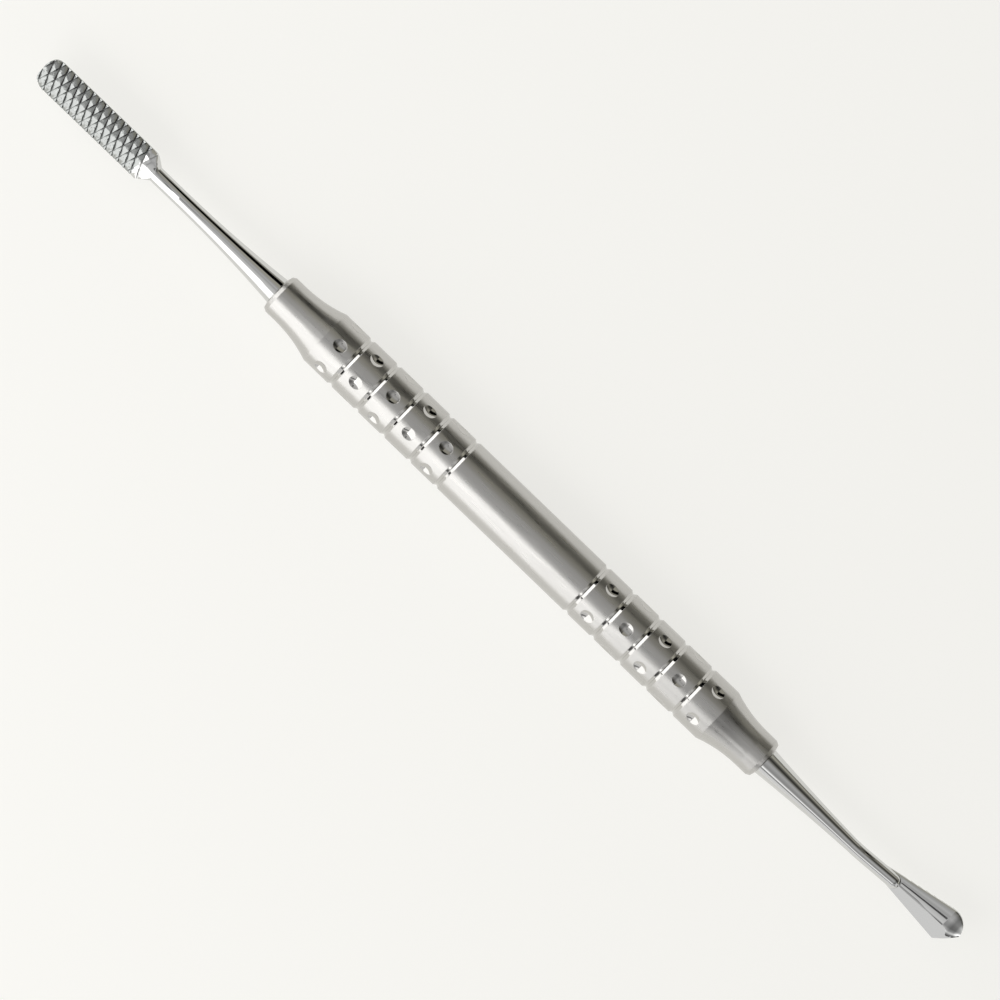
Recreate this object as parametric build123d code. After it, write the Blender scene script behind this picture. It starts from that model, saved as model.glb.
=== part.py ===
from build123d import *
import os
from math import asin, atan2, cos, degrees, radians, sin, sqrt, tan

# Bone file: a double-ended steel hand instrument. A hollow handle carries a file head with cross-cut
# teeth at its -X end and a drop-shaped head, toothed on its flat underside, at its +X end.
# It lies along X on the plane z = 0, under its handle, with the teeth of the file head upwards.
# Lengths are in millimetres and angles in degrees.

# Handle tube
handle_length = 103.1
handle_r = 4.75
handle_wall = 1.3
mouth_r = 3.5
mouth_land = 2.9
rim_width = 1.1
rim_length = 0.85
flare_length = 10.1

# Ring grooves of the handle, measured from the mouth at each end
groove_count = 5
groove_pitch = 5.57
groove_width = 1.0
groove_depth = 0.32
file_end_groove = 15.6
drop_end_groove = 15.4

# Grip dimples, one ring of them beside each groove
dimple_width = 2.36
dimple_ball_r = 2.2
file_end_dimples = 6
file_end_dimple_turn = 8.0
drop_end_dimples = 5
drop_end_dimple_turn = 33.5

# Seats of the two tips in the handle
seat_r = 1.9
seat_length = 12.0
seat_clearance = 0.02
tang_relief = 0.5

# File tip, measured outwards from the mouth of the handle
file_reach = 49.2
file_root_r = 2.31
file_neck_r = 1.33
file_taper_length = 20.5
file_taper_middle_r = 1.58
file_head_length = 21.5
file_shoulder_length = 2.0
file_head_width = 5.45
file_head_height = 2.6
file_crown_r = 7.0
file_side_height = 0.6
file_corner_r = 2.0
file_tooth_margin = 0.6

# Drop tip, measured outwards from the mouth of the handle along its middle line
drop_reach = 39.8
drop_root_r = 2.33
drop_neck_r = 1.17
drop_taper_length = 18.2
drop_taper_middle_r = 1.64
drop_bend_r = 40.0
drop_lean = 3.5
drop_head_length = 11.9
drop_r = 2.9
drop_half_angle = 8.6
drop_thickness = 1.6
drop_edge = 0.75
drop_facet_angle = 17.0
drop_face_depth = 0.55
drop_ramp_length = 3.0
drop_tooth_margin = 1.4

# Turn of both heads about the tool's axis as it lies, from +Z towards -Y
head_turn = 18.0

# Cross-cut teeth
tooth_pitch = 1.31
tooth_tilt = 20.0
tooth_depth = 0.42
tooth_gullet = 1.0
tooth_face_angle = 12.0
tooth_run_out = 0.15


def ring_groove():
    """Ring to cut one V-shaped groove of the handle, centred on x = 0."""
    stretch = 2
    profile = Polygon(
        (0, handle_r - groove_depth),
        (groove_width / 2 * stretch, handle_r - groove_depth + groove_depth * stretch),
        (-groove_width / 2 * stretch, handle_r - groove_depth + groove_depth * stretch),
        align=None,
    )
    return revolve(Plane.XZ * profile, Axis.X)


def dimple_ring(count, turn):
    """Balls to cut one ring of dimples, centred on x = 0, with the first one turned from +Z to +Y."""
    centre = handle_r + sqrt(dimple_ball_r**2 - (dimple_width / 2) ** 2)
    ball = Pos(Z=centre) * Rot(X=90) * Sphere(dimple_ball_r)
    return [Rot(X=-turn - 360 * n / count) * ball for n in range(count)]


def grip(mouth_x, inwards, first_groove, dimples, turn):
    """Grooves and dimples of one end of the handle, from the mouth inwards."""
    cuts = []
    for n in range(groove_count):
        from_mouth = first_groove + n * groove_pitch
        cuts.append(Pos(X=mouth_x + inwards * from_mouth) * ring_groove())
        ring_x = mouth_x + inwards * (from_mouth - groove_pitch / 2)
        ring_turn = turn + n % 2 * 180 / dimples
        cuts += [Pos(X=ring_x) * ball for ball in dimple_ring(dimples, ring_turn)]
    return cuts


def handle():
    """Hollow handle about the X axis, its middle at x = 0. Two cones round the rim of each mouth."""
    end = handle_length / 2
    cavity_r = handle_r - handle_wall
    cavity_x = end - seat_length
    rim_middle = 1 - cos(radians(45))
    mouth = Polyline(
        (end, seat_r),
        (end, mouth_r - rim_width),
        (end - rim_middle * rim_length, mouth_r - rim_middle * rim_width),
        (end - rim_length, mouth_r),
        (end - mouth_land, mouth_r),
    )
    flare = TangentArc(mouth @ 1, (end - flare_length, handle_r), tangent=(-1, 0))
    inside = Polyline(
        flare @ 1,
        (0, handle_r),
        (0, cavity_r),
        (cavity_x - (cavity_r - seat_r), cavity_r),
        (cavity_x, seat_r),
        mouth @ 0,
    )
    half = revolve(Plane.XZ * make_face(mouth + flare + inside), Axis.X)
    tube = half + mirror(half, Plane.YZ)
    tube -= grip(-end, 1, file_end_groove, file_end_dimples, file_end_dimple_turn)
    tube -= grip(end, -1, drop_end_groove, drop_end_dimples, drop_end_dimple_turn)
    return tube


def shank(root_r, middle_r, neck_r, taper_length):
    """Tang in the handle's seat and tapered shank along +X from the handle's mouth at x = 0."""
    tang_r = seat_r - seat_clearance
    taper = ThreePointArc((0, root_r), (taper_length / 2, middle_r), (taper_length, neck_r))
    outline = Polyline(
        taper @ 1,
        (taper_length, 0),
        (tang_relief - seat_length, 0),
        (tang_relief - seat_length, tang_r),
        (0, tang_r),
        taper @ 0,
    )
    return revolve(Plane.XZ * make_face(taper + outline), Axis.X)


def gullet_profile(face_z):
    """Section of a gullet in the XZ plane, cut into a face at z = face_z, deepest at x = 0.

    Its steep wall, the cutting face of the next tooth, looks back to the handle, and its gentle
    wall is the back of the tooth before it.
    """
    face_run = tooth_depth * tan(radians(tooth_face_angle))
    back_run = tooth_gullet - face_run
    stretch = (tooth_depth + tooth_run_out) / tooth_depth
    profile = Polygon(
        (0, face_z - tooth_depth),
        (face_run * stretch, face_z + tooth_run_out),
        (-back_run * stretch, face_z + tooth_run_out),
        align=None,
    )
    return Plane.XZ * profile


def cross_cut(gullet, first, last):
    """Two crossing families of a gullet, from x = first to x = last."""
    count = int((last - first) / tooth_pitch) + 1
    return [
        Pos(X=first + n * tooth_pitch) * Rot(Z=tilt) * gullet
        for tilt in (-tooth_tilt, tooth_tilt)
        for n in range(count)
    ]


def without_chips(cut):
    """Largest solid of a toothed head, without the loose chips that its gullets leave at the edges."""
    return cut.solids().sort_by(SortBy.VOLUME)[-1]


def file_tip():
    """File tip along +X from the handle's mouth at x = 0, with its toothed face upwards."""
    head_x = file_reach - file_head_length
    shoulder_x = head_x - file_shoulder_length
    half_width = file_head_width / 2
    face_z = file_head_height / 2
    blank_r = sqrt(half_width**2 + face_z**2)
    blank = Polygon(
        (file_taper_length, 0),
        (file_reach, 0),
        (file_reach, blank_r),
        (head_x + blank_r - half_width, blank_r),
        (shoulder_x, file_neck_r),
        (file_taper_length, file_neck_r),
        align=None,
    )
    turned = revolve(Plane.XZ * blank, Axis.X)

    length = file_reach - file_taper_length
    plan = Pos(X=file_taper_length + length / 2) * Rectangle(length, file_head_width)
    plan = fillet(plan.vertices().sort_by(Axis.X)[-2:], file_corner_r)
    edge_drop = file_crown_r - sqrt(file_crown_r**2 - half_width**2)
    edge_z = face_z - edge_drop
    crown = ThreePointArc((-half_width, edge_z), (0, face_z), (half_width, edge_z))
    side = Line(crown @ 1, (half_width, edge_z - file_side_height))
    back = ThreePointArc(side @ 1, (0, -face_z), (-half_width, edge_z - file_side_height))
    section = Plane.YZ * make_face(crown + side + back + Line(back @ 1, crown @ 0))
    envelope = extrude(Pos(X=file_taper_length) * section, length, dir=(1, 0, 0))
    head = turned & envelope & extrude(plan, file_head_height, both=True)

    half_chord = half_width / cos(radians(tooth_tilt))
    ring_r = (half_chord**2 + edge_drop**2) / (2 * edge_drop)
    gullet = revolve(gullet_profile(face_z), Axis((0, 0, face_z - ring_r), (1, 0, 0)))
    head -= cross_cut(gullet, head_x + file_tooth_margin, file_reach + tooth_pitch)
    root = shank(file_root_r, file_taper_middle_r, file_neck_r, file_taper_length)
    return root + without_chips(head)


def drop_tip():
    """Drop tip along +X from the handle's mouth at x = 0, with its toothed face downwards."""
    bend_run = drop_bend_r * tan(radians(drop_lean / 2))
    bend_x = drop_taper_length + bend_run
    head_x = drop_reach - drop_head_length
    ball_x = head_x - drop_neck_r
    bend = JernArc((drop_taper_length, 0), (1, 0), drop_bend_r, drop_lean)
    run = Line(bend @ 1, (bend @ 1) + (bend % 1) * (ball_x - bend_x - bend_run))
    neck = sweep(Plane.YZ.offset(drop_taper_length) * Circle(drop_neck_r), bend + run)
    lean = Pos(X=bend_x) * Rot(Z=drop_lean) * Pos(X=-bend_x)
    neck += lean * Pos(X=ball_x) * Rot(Y=90) * Sphere(drop_neck_r)

    flank = radians(drop_half_angle)
    centre_x = drop_reach - drop_r
    apex_x = centre_x - drop_r / sin(flank)
    root_half = sqrt(drop_neck_r**2 - drop_face_depth**2)
    root_x = apex_x + root_half / tan(flank)
    flank_end = (centre_x - drop_r * sin(flank), drop_r * cos(flank))
    edge = Line((root_x, root_half), flank_end)
    edge += TangentArc(edge @ 1, (drop_reach, 0), tangent=edge % 1)
    edge += Line((drop_reach, 0), (centre_x, -drop_r))
    edge += TangentArc((centre_x, -drop_r), (flank_end[0], -flank_end[1]), tangent=(-1, 0))
    edge += Polyline((flank_end[0], -flank_end[1]), (root_x, -root_half), (root_x, root_half))
    plan = Plane.XY.offset(-drop_face_depth) * make_face(edge)

    sink = (drop_r**2 + drop_edge**2 - drop_thickness**2) / (2 * (drop_thickness - drop_edge))
    ball_r = sink + drop_thickness
    axis_length = sqrt((centre_x - apex_x) ** 2 + sink**2)
    touch = sqrt(axis_length**2 - ball_r**2)
    cone_end = (touch**2 / axis_length, touch * ball_r / axis_length)
    cone = Line((0, 0), cone_end)
    cap = TangentArc(cone_end, (axis_length + ball_r, 0), tangent=cone_end)
    apex = Pos(apex_x, 0, -drop_face_depth)
    axis_dip = degrees(atan2(sink, centre_x - apex_x))
    back = revolve(Plane.XZ * make_face(cone + cap + Line(cap @ 1, (0, 0))), Axis.X)
    back = apex * Rot(Y=axis_dip) * back
    crest_rise = degrees(asin(ball_r / axis_length)) - axis_dip
    facet = Plane(apex * Rot(Y=-crest_rise) * Rot(X=drop_facet_angle))
    drop = split(back, facet, keep=Keep.BOTTOM) & extrude(plan, 2 * drop_thickness)

    ground = Polygon(
        (root_x - drop_ramp_length, -drop_neck_r),
        (root_x, -drop_face_depth),
        (drop_reach, -drop_face_depth),
        (drop_reach, -drop_neck_r),
        align=None,
    )
    turned = lean * Rot(X=head_turn)
    neck -= turned * extrude(Plane.XZ * ground, 2 * drop_neck_r, both=True)

    gullet = extrude(gullet_profile(drop_face_depth), 2 * drop_r, both=True)
    drop -= [Rot(X=180) * cut for cut in cross_cut(gullet, head_x + drop_tooth_margin, drop_reach)]
    root = shank(drop_root_r, drop_taper_middle_r, drop_neck_r, drop_taper_length)
    return root + neck + turned * without_chips(drop)


file_end = Rot(X=head_turn) * Rot(Z=180) * file_tip()
drop_end = drop_tip()
handle_x = -(file_end.bounding_box().min.X + drop_end.bounding_box().max.X) / 2
axis = Pos(X=handle_x, Z=handle_r)
nodes = {
    "handle": axis * handle(),
    "file_tip": axis * Pos(X=-handle_length / 2) * file_end,
    "drop_tip": axis * Pos(X=handle_length / 2) * drop_end,
}

os.makedirs("parts", exist_ok=True)
for name, solid in nodes.items():
    export_step(solid, f"parts/{name}.step")
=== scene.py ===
from math import cos, pi, radians, sin, tan

import bpy
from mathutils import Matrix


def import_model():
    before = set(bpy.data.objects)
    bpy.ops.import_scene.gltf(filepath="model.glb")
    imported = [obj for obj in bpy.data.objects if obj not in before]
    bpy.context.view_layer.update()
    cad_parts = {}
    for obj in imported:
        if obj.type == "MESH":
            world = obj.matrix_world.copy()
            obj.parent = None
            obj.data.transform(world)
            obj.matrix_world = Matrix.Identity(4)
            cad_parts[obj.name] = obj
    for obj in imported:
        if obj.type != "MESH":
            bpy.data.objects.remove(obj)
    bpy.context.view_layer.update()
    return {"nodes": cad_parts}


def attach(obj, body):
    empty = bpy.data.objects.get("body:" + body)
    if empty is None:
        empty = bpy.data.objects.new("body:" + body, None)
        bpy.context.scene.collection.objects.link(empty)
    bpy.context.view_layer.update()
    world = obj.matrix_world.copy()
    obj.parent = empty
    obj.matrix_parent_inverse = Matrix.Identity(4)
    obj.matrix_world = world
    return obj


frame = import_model()

handle = frame["nodes"]["handle"]
file_tip = frame["nodes"]["file_tip"]
drop_tip = frame["nodes"]["drop_tip"]

# The photograph's frame: the tool lies across it, and the view is straight down
VIEW_TURN = radians(43.94)
VIEW_WIDTH = 0.15224
VIEW_CENTRE = (-0.00039, 0.00063, 0.00475)
CAMERA_DISTANCE = 0.8
CAMERA_REACH = (0.01, 10)
SENSOR_WIDTH_MM = 36

# Colours, linear
SATIN_STEEL = (0.56, 0.55, 0.53, 1)
POLISHED_STEEL = (0.66, 0.66, 0.65, 1)
CUT_STEEL = (0.4, 0.41, 0.4, 1)
# Painted shade: the dark colour that the long head's gullets take where they are enclosed
GULLET_SHADE = (0.05, 0.053, 0.05, 1)
BACKDROP = (0.92, 0.913, 0.88, 1)
FLOOR_PAINT = (0.3, 0.298, 0.287, 1)

# Floor: its size, its roughness, and the level of its own light in the backdrop's colour
FLOOR_SIZE = 4
FLOOR_ROUGH = 0.9
FLOOR_TOP_UP = 0.775

# Each finish: how far its grain is drawn out along X, the grain's scale and detail,
# the strength and height of its bumps, the lowest and highest roughness in it,
# and the plain roughness that stands in where the grain isn't read
SATIN_FINISH = {
    "stretch": 12,
    "scale": 2500,
    "detail": 3,
    "bump": 0.08,
    "height": 0.00004,
    "rough": (0.26, 0.34),
    "plain_rough": 0.3,
}
POLISHED_FINISH = {
    "stretch": 20,
    "scale": 1800,
    "detail": 2,
    "bump": 0.01,
    "height": 0.0001,
    "rough": (0.03, 0.08),
    "plain_rough": 0.1,
}
CUT_FINISH = {
    "stretch": 1.5,
    "scale": 1600,
    "detail": 2,
    "bump": 0.6,
    "height": 0.0001,
    "rough": (0.16, 0.26),
    "plain_rough": 0.1,
}

# The part of the grain's noise that the roughness follows
GRAIN_RANGE = (0.3, 0.7)

# The handle's radius and middle, and the depth under its surface at which satin has ended
# in dimples and grooves, which are this smooth
HANDLE_R = 0.00475
HANDLE_MIDDLE = 0.004717
SATIN_DEPTH = 0.00008
BRIGHT_ROUGH = 0.07

# Beyond this distance from the handle's middle are its flares, which are satin all over
FLARE_FROM = 0.0407

# The long head's cut finish ends here along X. Painted shade darkens its colour where less than the higher
# share of the directions is open within this reach, and is darkest from the lower share down
HEAD_END = -0.0755
GULLET_REACH = 0.0006
GULLET_OPENNESS = (0.35, 0.85)

# Broken edges: the heads reach to here along X, the width and segments of the rounding,
# and the angle from which an edge counts as sharp
SHOULDER_END = -0.072
TOOTH_EDGE = 0.00009
TOOTH_SEGMENTS = 2
TOOTH_ANGLE = radians(28)
DROP_START = 0.078
CREST_EDGE = 0.0002
CREST_SEGMENTS = 4
CREST_ANGLE = radians(15)
WELD_REACH = 0.000001

# White softbox on the -Y side: it leans towards the tool and stands on the table
SOFTBOX_LEVEL = 1.75
SOFTBOX_DISTANCE = 0.42
SOFTBOX_ANGLE = radians(60)
SOFTBOX_HALF_ANGLE = radians(30)
SOFTBOX_X = (-0.62, 0.058)

# Dimmer and lower wing of that softbox, beyond its +X end
WING_LEVEL = 0.8
WING_X = (0.068, 0.6)
WING_ANGLE = radians(76)
WING_HALF_ANGLE = radians(14)

# Low white panel that stands upright beyond the long head and faces it
PANEL_LEVEL = 1.8
PANEL_X = -0.5
PANEL_WIDTH = 0.5
PANEL_HEIGHT = 0.3
PANEL_TURN = (radians(90), 0, radians(-90))

# Light of the room by the angle from the zenith, positive towards -Y: level and tint,
# over most of the tool and beyond its +X end. The ramps hold it divided by STUDIO_LEVEL
NEUTRAL = (1.0, 1.0, 1.0)
WARM = (1.0, 0.97, 0.84)
STUDIO_LEVEL = 2.0
MAIN_BANDS = (
    (-90, 0.30, WARM),
    (-78, 0.34, WARM),
    (-75, 0.0, NEUTRAL),
    (-50, 0.0, NEUTRAL),
    (-46, 0.42, WARM),
    (-30, 0.42, WARM),
    (-18, 0.46, NEUTRAL),
    (-9, 0.60, NEUTRAL),
    (0, 0.46, NEUTRAL),
    (10, 0.62, NEUTRAL),
    (30, 0.80, NEUTRAL),
    (37, 0.06, NEUTRAL),
    (90, 0.06, NEUTRAL),
)
END_BANDS = (
    (-90, 0.16, WARM),
    (-66, 0.46, WARM),
    (-52, 0.14, WARM),
    (-38, 0.03, NEUTRAL),
    (-28, 0.16, WARM),
    (-12, 0.48, NEUTRAL),
    (2, 0.56, NEUTRAL),
    (16, 0.40, NEUTRAL),
    (28, 0.34, NEUTRAL),
    (38, 0.70, NEUTRAL),
    (46, 1.60, NEUTRAL),
    (54, 0.50, NEUTRAL),
    (62, 0.10, NEUTRAL),
    (90, 0.10, NEUTRAL),
)

# Where the first bands turn into the second, along X of the direction
END_BLEND = (0.045, 0.08)

# Dark bar that hangs over the tool, by the angle from the zenith and along X,
# and how softly it ends in each
BAR_ANGLES = (6, 13)
BAR_ANGLE_SOFT = 1.5
BAR_X = (-0.12, 0.03)
BAR_X_SOFT = 0.02
BAR_DARKNESS = 0.88

# Factor on that light along X, from the -X horizon to the +X one
ALONG = (
    (-1.0, 1.0, NEUTRAL),
    (-0.92, 0.9, NEUTRAL),
    (-0.84, 0.6, NEUTRAL),
    (-0.74, 0.65, NEUTRAL),
    (-0.66, 1.0, NEUTRAL),
    (0.25, 1.0, NEUTRAL),
    (0.5, 0.5, NEUTRAL),
    (0.75, 0.6, NEUTRAL),
    (0.9, 1.6, NEUTRAL),
    (1.0, 1.8, NEUTRAL),
)

# Places of the Mix node's sockets, as its numbers and its colours share their names
MIX_NUMBERS = (2, 3)
MIX_COLOURS = (6, 7)
MIX_NUMBER_OUT = 0
MIX_COLOUR_OUT = 2


def feed(tree, entry, value):
    """Gives an input another node's output or a plain value."""
    if isinstance(value, bpy.types.NodeSocket):
        tree.links.new(value, entry)
    else:
        entry.default_value = value


def add_node(tree, kind, inputs, **settings):
    """A shader node with these settings, and with these inputs by name or place."""
    node = tree.nodes.new("ShaderNode" + kind)
    for name, setting in settings.items():
        setattr(node, name, setting)
    for entry, value in inputs.items():
        feed(tree, node.inputs[entry], value)
    return node


def maths(tree, operation, *values):
    return add_node(tree, "Math", dict(enumerate(values)), operation=operation).outputs["Value"]


def vector_maths(tree, operation, output, *values):
    return add_node(tree, "VectorMath", dict(enumerate(values)), operation=operation).outputs[output]


def to_range(tree, source, span, low_value=0.0, high_value=1.0, curve="LINEAR"):
    """The source taken from this span to these two values, and held at them outside it."""
    inputs = {
        "Value": source,
        "From Min": span[0],
        "From Max": span[1],
        "To Min": low_value,
        "To Max": high_value,
    }
    return add_node(tree, "MapRange", inputs, interpolation_type=curve).outputs["Result"]


def mixed_colour(tree, share, first, second):
    inputs = {"Factor": share, MIX_COLOURS[0]: first, MIX_COLOURS[1]: second}
    return add_node(tree, "Mix", inputs, data_type="RGBA").outputs[MIX_COLOUR_OUT]


def mixed_number(tree, share, first, second):
    inputs = {"Factor": share, MIX_NUMBERS[0]: first, MIX_NUMBERS[1]: second}
    return add_node(tree, "Mix", inputs).outputs[MIX_NUMBER_OUT]


def new_material(name, inputs):
    """A material with its node tree and its shader, whose inputs are set to these values."""
    material = bpy.data.materials.new(name)
    material.use_nodes = True
    tree = material.node_tree
    shader = tree.nodes["Principled BSDF"]
    for entry, value in inputs.items():
        feed(tree, shader.inputs[entry], value)
    return material, tree, shader


def grained_steel(name, colour, finish):
    """A metal bumped by noise along X. It also returns the roughness that follows the noise."""
    inputs = {"Base Color": colour, "Metallic": 1.0, "Roughness": finish["plain_rough"]}
    material, tree, shader = new_material(name, inputs)
    place = add_node(tree, "TexCoord", {}).outputs["Object"]
    scale = (1 / finish["stretch"], 1, 1)
    stretched = add_node(tree, "Mapping", {"Vector": place, "Scale": scale}).outputs["Vector"]
    inputs = {"Vector": stretched, "Scale": finish["scale"], "Detail": finish["detail"]}
    noise = add_node(tree, "TexNoise", inputs).outputs["Fac"]
    inputs = {"Height": noise, "Strength": finish["bump"], "Distance": finish["height"]}
    feed(tree, shader.inputs["Normal"], add_node(tree, "Bump", inputs).outputs["Normal"])
    rough = to_range(tree, noise, GRAIN_RANGE, *finish["rough"])
    return material, tree, shader, rough


def satin_steel():
    """Satin on the handle's outer cylinder and its flares, and brighter in dimples and grooves."""
    material, tree, shader, satin_rough = grained_steel("satin_steel", SATIN_STEEL, SATIN_FINISH)
    place = add_node(tree, "TexCoord", {}).outputs["Object"]
    from_axis = vector_maths(tree, "SUBTRACT", "Vector", place, (0, 0, HANDLE_R))
    across = vector_maths(tree, "MULTIPLY", "Vector", from_axis, (0, 1, 1))
    radius = vector_maths(tree, "LENGTH", "Value", across)
    outside = to_range(tree, radius, (HANDLE_R - SATIN_DEPTH, HANDLE_R - SATIN_DEPTH / 2))
    along = add_node(tree, "SeparateXYZ", {"Vector": place}).outputs["X"]
    from_middle = maths(tree, "ABSOLUTE", maths(tree, "SUBTRACT", along, HANDLE_MIDDLE))
    flared = maths(tree, "GREATER_THAN", from_middle, FLARE_FROM)
    satin = maths(tree, "MAXIMUM", outside, flared)
    rough = to_range(tree, satin, (0, 1), BRIGHT_ROUGH, satin_rough)
    feed(tree, shader.inputs["Roughness"], rough)
    return material


def polished_steel():
    material, tree, shader, rough = grained_steel("polished_steel", POLISHED_STEEL, POLISHED_FINISH)
    feed(tree, shader.inputs["Roughness"], rough)
    return material


def cut_steel_and_gullet_shade():
    """The long head's finish: uneven, with painted shade that darkens its colour in the gullets."""
    material, tree, shader, rough = grained_steel("cut_steel_and_gullet_shade", CUT_STEEL, CUT_FINISH)
    feed(tree, shader.inputs["Roughness"], rough)
    # Painted shade: ambient occlusion darkens the base colour in the gullets, where shade falls
    openness = add_node(tree, "AmbientOcclusion", {"Distance": GULLET_REACH}).outputs["AO"]
    unshaded = to_range(tree, openness, GULLET_OPENNESS)
    feed(tree, shader.inputs["Base Color"], mixed_colour(tree, unshaded, GULLET_SHADE, CUT_STEEL))
    return material


def dress(node, material):
    node.data.materials.clear()
    node.data.materials.append(material)
    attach(node, "root")


def cut_head():
    """Gives the faces of the long head their own finish and painted shade in the gullets, beside the
    polished one.
    """
    materials = file_tip.data.materials
    materials.append(cut_steel_and_gullet_shade())
    for face in file_tip.data.polygons:
        if face.center.x < HEAD_END:
            face.material_index = len(materials) - 1


def break_edges(node, in_head, width, segments, angle):
    """Rounds the edges of a head that are sharper than this angle.

    The mesh comes split at its sharp edges. They are rounded only where it is welded."""
    head = node.vertex_groups.new(name="head")
    head.add([point.index for point in node.data.vertices if in_head(point.co.x)], 1.0, "REPLACE")
    weld = node.modifiers.new("weld", "WELD")
    weld.merge_threshold = WELD_REACH
    weld.vertex_group = head.name
    edges = node.modifiers.new("broken_edges", "BEVEL")
    edges.width = width
    edges.segments = segments
    edges.angle_limit = angle
    edges.harden_normals = True


def shown_to(tree, *rays):
    """1 for rays of these kinds of the Light Path node, 0 for others."""
    path = add_node(tree, "LightPath", {})
    total = path.outputs[rays[0]]
    for ray in rays[1:]:
        total = maths(tree, "MAXIMUM", total, path.outputs[ray])
    return total


def backdrop():
    """Pale floor: its own light tops up what it reflects, and the tool's soft shadow stays on it."""
    bpy.ops.mesh.primitive_plane_add(size=FLOOR_SIZE, location=(0, 0, 0))
    floor = bpy.context.active_object
    floor.name = "floor"
    inputs = {
        "Base Color": FLOOR_PAINT,
        "Roughness": FLOOR_ROUGH,
        "Specular IOR Level": 0.0,
        "Emission Color": BACKDROP,
    }
    material, tree, shader = new_material("floor", inputs)
    shown = shown_to(tree, "Is Camera Ray", "Is Glossy Ray")
    feed(tree, shader.inputs["Emission Strength"], maths(tree, "MULTIPLY", shown, FLOOR_TOP_UP))
    floor.data.materials.append(material)


def banded(tree, source, bands):
    """Colour ramp over the source, with stops of (place, level, tint) in order."""
    start, end = bands[0][0], bands[-1][0]
    across = to_range(tree, source, (start, end))
    ramp = add_node(tree, "ValToRGB", {"Fac": across})
    stops = ramp.color_ramp.elements
    while len(stops) < len(bands):
        stops.new(0.5)
    for stop, (place, level, tint) in zip(stops, bands):
        stop.position = (place - start) / (end - start)
        stop.color = [level * channel / STUDIO_LEVEL for channel in tint] + [1]
    return ramp.outputs["Color"]


def within(tree, source, span, soft):
    """1 inside this span, with edges this soft."""
    start, end = span
    rise = to_range(tree, source, (start - soft, start + soft), curve="SMOOTHSTEP")
    fall = to_range(tree, source, (end + soft, end - soft), curve="SMOOTHSTEP")
    return maths(tree, "MULTIPLY", rise, fall)


def world():
    """Studio round the tool: bands of light that run along X, and a plain pale backdrop for the camera."""
    scene_world = bpy.data.worlds.new("studio")
    scene_world.use_nodes = True
    tree = scene_world.node_tree

    place = add_node(tree, "TexCoord", {}).outputs["Generated"]
    split = add_node(tree, "SeparateXYZ", {"Vector": place})
    x, y, z = split.outputs
    towards = maths(tree, "MULTIPLY", y, -1.0)
    angle = maths(tree, "DEGREES", maths(tree, "ARCTAN2", towards, z))
    end = to_range(tree, x, END_BLEND, curve="SMOOTHSTEP")
    bands = mixed_colour(tree, end, banded(tree, angle, MAIN_BANDS), banded(tree, angle, END_BANDS))

    over = within(tree, angle, BAR_ANGLES, BAR_ANGLE_SOFT)
    barred = maths(tree, "MULTIPLY", over, within(tree, x, BAR_X, BAR_X_SOFT))
    left = maths(tree, "SUBTRACT", 1.0, maths(tree, "MULTIPLY", barred, BAR_DARKNESS))
    level = maths(tree, "MULTIPLY", banded(tree, x, ALONG), left)
    undivided = maths(tree, "MULTIPLY", level, STUDIO_LEVEL**2)

    seen = shown_to(tree, "Is Camera Ray")
    background = tree.nodes["Background"]
    feed(tree, background.inputs["Color"], mixed_colour(tree, seen, bands, BACKDROP))
    feed(tree, background.inputs["Strength"], mixed_number(tree, seen, undivided, 1.0))
    bpy.context.scene.world = scene_world


def shining_panel(name, level, size, place, turn):
    """Area lamp whose surface shines evenly at this level."""
    data = bpy.data.lights.new(name, "AREA")
    data.shape = "RECTANGLE"
    data.size, data.size_y = size
    data.energy = level * pi * data.size * data.size_y
    lamp = bpy.data.objects.new(name, data)
    lamp.location = place
    lamp.rotation_euler = turn
    bpy.context.scene.collection.objects.link(lamp)


def side_panel(name, level, ends, angle, half_angle):
    """Panel along X on the -Y side, turned to the tool, over these angles from the zenith."""
    away, up = SOFTBOX_DISTANCE * sin(angle), SOFTBOX_DISTANCE * cos(angle)
    size = (ends[1] - ends[0], 2 * SOFTBOX_DISTANCE * tan(half_angle))
    shining_panel(name, level, size, (sum(ends) / 2, -away, up), (angle, 0, 0))


def lamps():
    side_panel("softbox", SOFTBOX_LEVEL, SOFTBOX_X, SOFTBOX_ANGLE, SOFTBOX_HALF_ANGLE)
    side_panel("wing", WING_LEVEL, WING_X, WING_ANGLE, WING_HALF_ANGLE)
    size = (PANEL_WIDTH, PANEL_HEIGHT)
    shining_panel("end_panel", PANEL_LEVEL, size, (PANEL_X, 0, PANEL_HEIGHT / 2), PANEL_TURN)


def camera():
    data = bpy.data.cameras.new("camera")
    data.sensor_width = SENSOR_WIDTH_MM
    data.lens = SENSOR_WIDTH_MM * CAMERA_DISTANCE / VIEW_WIDTH
    data.clip_start, data.clip_end = CAMERA_REACH
    view = bpy.data.objects.new("camera", data)
    x, y, z = VIEW_CENTRE
    view.location = (x, y, z + CAMERA_DISTANCE)
    view.rotation_euler = (0, 0, VIEW_TURN)
    bpy.context.scene.collection.objects.link(view)
    bpy.context.scene.camera = view


polished = polished_steel()
dress(handle, satin_steel())
dress(file_tip, polished)
dress(drop_tip, polished)
cut_head()
break_edges(file_tip, lambda x: x < SHOULDER_END, TOOTH_EDGE, TOOTH_SEGMENTS, TOOTH_ANGLE)
break_edges(drop_tip, lambda x: x > DROP_START, CREST_EDGE, CREST_SEGMENTS, CREST_ANGLE)

backdrop()
world()
lamps()
camera()
bpy.context.scene.view_settings.view_transform = "Standard"
